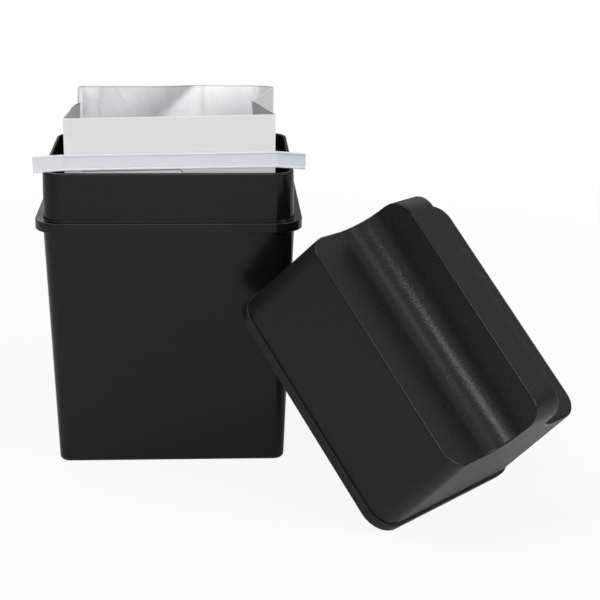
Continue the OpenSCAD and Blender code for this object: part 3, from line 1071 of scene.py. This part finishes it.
def make_tie(plastic):
    """The strip in three pieces: the middle on the panel, and two ends that bend where they leave it."""
    tree = tie_tree()
    high = TIE_H / 2 - RIB_R
    turn = math.acos((WEB_T - RIB_R) / RIB_R)
    web_x = (WEB_T - RIB_R) * MM
    web_y = (high - RIB_R * math.sin(turn)) * MM
    values = {
        "Rib radius": RIB_R * MM, "Rib steps": RIB_STEPS, "Rib start": -turn, "Rib sweep": math.pi + turn,
        "Rib place": (0.0, high * MM, 0.0), "Web top": (web_x, web_y, 0.0), "Web foot": (web_x, -web_y, 0.0),
        "Back top": (-RIB_R * MM, high * MM, 0.0), "Back foot": (-RIB_R * MM, -high * MM, 0.0),
        "Plastic": plastic}
    placing = Matrix.Scale(MM, 4) @ tie_frame() @ Matrix.Scale(1.0 / MM, 4)
    for name, side, node, body in (("tie_middle", 0, "tie_strip", "bag"),
                                   ("tie_end_left", -1, "tie_left", None),
                                   ("tie_end_right", 1, "tie_right", None)):
        mesh = tree.run(line_mesh(name, tie_path(side)), values)
        mesh.transform(placing)
        weld(mesh, fill=True)
        strip = piece(name, mesh, [plastic], [node], body)
        if side != 0:
            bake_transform(strip)


# Floor and surround: distances in metres, and levels as shares of plain white.
# The dark part ends between two sines of elevation, the dim part between two cosines from its middle.

FLOOR_HALF = 3.0
FLOOR_NEAR = 0.25
FLOOR_FAR = 0.70
FLOOR_GLOW = 0.90
FLOOR_MIRROR = 0.22
FLOOR_SHADES = (grey(0.92), grey(0.95))
WHITE = grey(1.0)
SKY_LEVEL = 0.20
DARK_LEVEL = 0.12
DARK_LOW = 0.20
DARK_HIGH = 0.46
DIM_LEVEL = 0.68
DIM_WAY = Vector((0.82, 0.10, 0.57))
DIM_EDGE = 0.80
DIM_CORE = 0.95


def pale_floor():
    """White floor: it keeps a soft shadow close to the object, and is plain white further out."""
    f = Finish("pale_floor")
    where = f.place()
    away = f.add("ShaderNodeVectorMath", {"operation": "LENGTH"}, {0: where}, out="Value")
    far = f.between(away, FLOOR_NEAR, FLOOR_FAR)
    mirrored = f.rays("Is Glossy Ray") + f.rays("Is Transmission Ray")
    glow = f.rays("Is Camera Ray") * (FLOOR_GLOW + (1.0 - FLOOR_GLOW) * far) + mirrored * FLOOR_MIRROR
    speck = f.noise(where, size=3.0)
    lit = f.add("ShaderNodeBsdfDiffuse", sockets={"Color": f.mix(speck, *FLOOR_SHADES)})
    white = f.add("ShaderNodeEmission", sockets={"Color": WHITE, "Strength": 1.0})
    return f.close(f.layer(glow, lit, white))


def make_floor():
    """The floor that everything stands on."""
    mesh = bpy.data.meshes.new("floor")
    h = FLOOR_HALF
    mesh.from_pydata([(-h, -h, 0.0), (h, -h, 0.0), (h, h, 0.0), (-h, h, 0.0)], [], [(0, 1, 2, 3)])
    mesh.materials.append(pale_floor())
    floor = bpy.data.objects.new("floor", mesh)
    bpy.context.scene.collection.objects.link(floor)


def make_sky():
    """Surround: white where seen, softer as light; in mirrors dimmer high on the right and dark low down."""
    f = Finish("studio", world=True)
    way = f.add("ShaderNodeTexCoord", out="Generated")
    height = f.add("ShaderNodeSeparateXYZ", sockets={0: way}, out="Z")
    low = 1.0 - f.between(height, DARK_LOW, DARK_HIGH)
    right = f.add("ShaderNodeVectorMath", {"operation": "DOT_PRODUCT"},
                  {0: way, 1: DIM_WAY.normalized()}, out="Value")
    mirrored = f.rays("Is Glossy Ray")
    shown = f.rays("Is Camera Ray") + mirrored + f.rays("Is Transmission Ray")

    def shine(strength):
        return f.add("ShaderNodeBackground", sockets={"Color": WHITE, "Strength": strength})

    sky = f.layer(mirrored * f.between(right, DIM_EDGE, DIM_CORE), shine(1.0), shine(DIM_LEVEL))
    sky = f.layer(mirrored * low, sky, shine(DARK_LEVEL))
    bpy.context.scene.world = f.close(f.layer(shown, shine(SKY_LEVEL), sky))


# Lamps and camera. A lamp's azimuth, from the front to the right, and its elevation are in degrees,
# its distance and size in metres, and its power in watts.

LAMPS = (
    ("lamp_right", 44.0, 54.0, 1.4, 0.36, 0.7),
    ("lamp_front", -2.5, 34.0, 1.2, 0.28, 2.0),
    ("lamp_low", -6.0, 14.0, 1.3, 0.45, 2.1),
    ("lamp_side", 56.0, 20.0, 1.4, 0.60, 7.6),
    ("lamp_top", -66.0, 64.0, 1.3, 0.7, 5.5),
    ("lamp_back", 195.0, 32.0, 1.4, 0.6, 3.0),
)
LAMP_AIM = Vector((0.04, -0.03, 0.09))
CAMERA_AT = Vector((20.22, -830.79, 334.45)) * MM
CAMERA_RIGHT = Vector((0.99843, -0.05492, 0.01123))
CAMERA_UP = Vector((0.00573, 0.29946, 0.95409))
CAMERA_LENS = 96.79
CAMERA_SENSOR = 36.0


def make_lamp(name, azimuth, elevation, distance, size, power):
    """A soft square lamp, turned to the middle of the object."""
    az, el = math.radians(azimuth), math.radians(elevation)
    way = Vector((math.sin(az) * math.cos(el), -math.cos(az) * math.cos(el), math.sin(el)))
    data = bpy.data.lights.new(name, "AREA")
    data.size = size
    data.energy = power
    lamp = bpy.data.objects.new(name, data)
    turn = way.to_track_quat("Z", "Y").to_matrix().to_4x4()
    lamp.matrix_world = Matrix.Translation(LAMP_AIM + way * distance) @ turn
    bpy.context.scene.collection.objects.link(lamp)


def make_camera():
    """The camera, where the photo was taken from."""
    data = bpy.data.cameras.new("camera")
    data.lens = CAMERA_LENS
    data.sensor_width = CAMERA_SENSOR
    data.sensor_fit = "HORIZONTAL"
    camera = bpy.data.objects.new("camera", data)
    right = CAMERA_RIGHT.normalized()
    back = right.cross(CAMERA_UP).normalized()
    up = back.cross(right)
    turn = Matrix((right, up, back)).transposed().to_4x4()
    camera.matrix_world = Matrix.Translation(CAMERA_AT) @ turn
    bpy.context.scene.collection.objects.link(camera)
    bpy.context.scene.camera = camera


def build():
    """Makes every piece, dresses the wires, which keep the solids' shape, and sets the stage."""
    polished = satin_black("polished_plastic", shades=(0.0036, 0.0048), rough=0.17, shine=0.25, dust_and_glints=0.2)
    satin = satin_black("satin_plastic", shades=(0.0082, 0.0102), rough=0.34, shine=0.20, dust_and_glints=0.9)
    make_canister(polished)
    make_lid(satin, grained_black(), polished)
    make_ply("paper_ply", 0.0, PAPER_T, bag_paper(), "bag_paper")
    make_ply("foil_ply", FOIL_IN, FOIL_IN + FOIL_T, bag_foil(), "bag_foil")
    make_label(label_paper())
    make_tie(tie_plastic())
    steel = tie_wire()
    for node in ("tie_wires", "tie_left_wires", "tie_right_wires"):
        for slot in frame["nodes"][node].material_slots:
            slot.material = steel
    make_floor()
    make_sky()
    for lamp in LAMPS:
        make_lamp(*lamp)
    make_camera()
    bpy.context.scene.view_settings.view_transform = "Standard"


build()
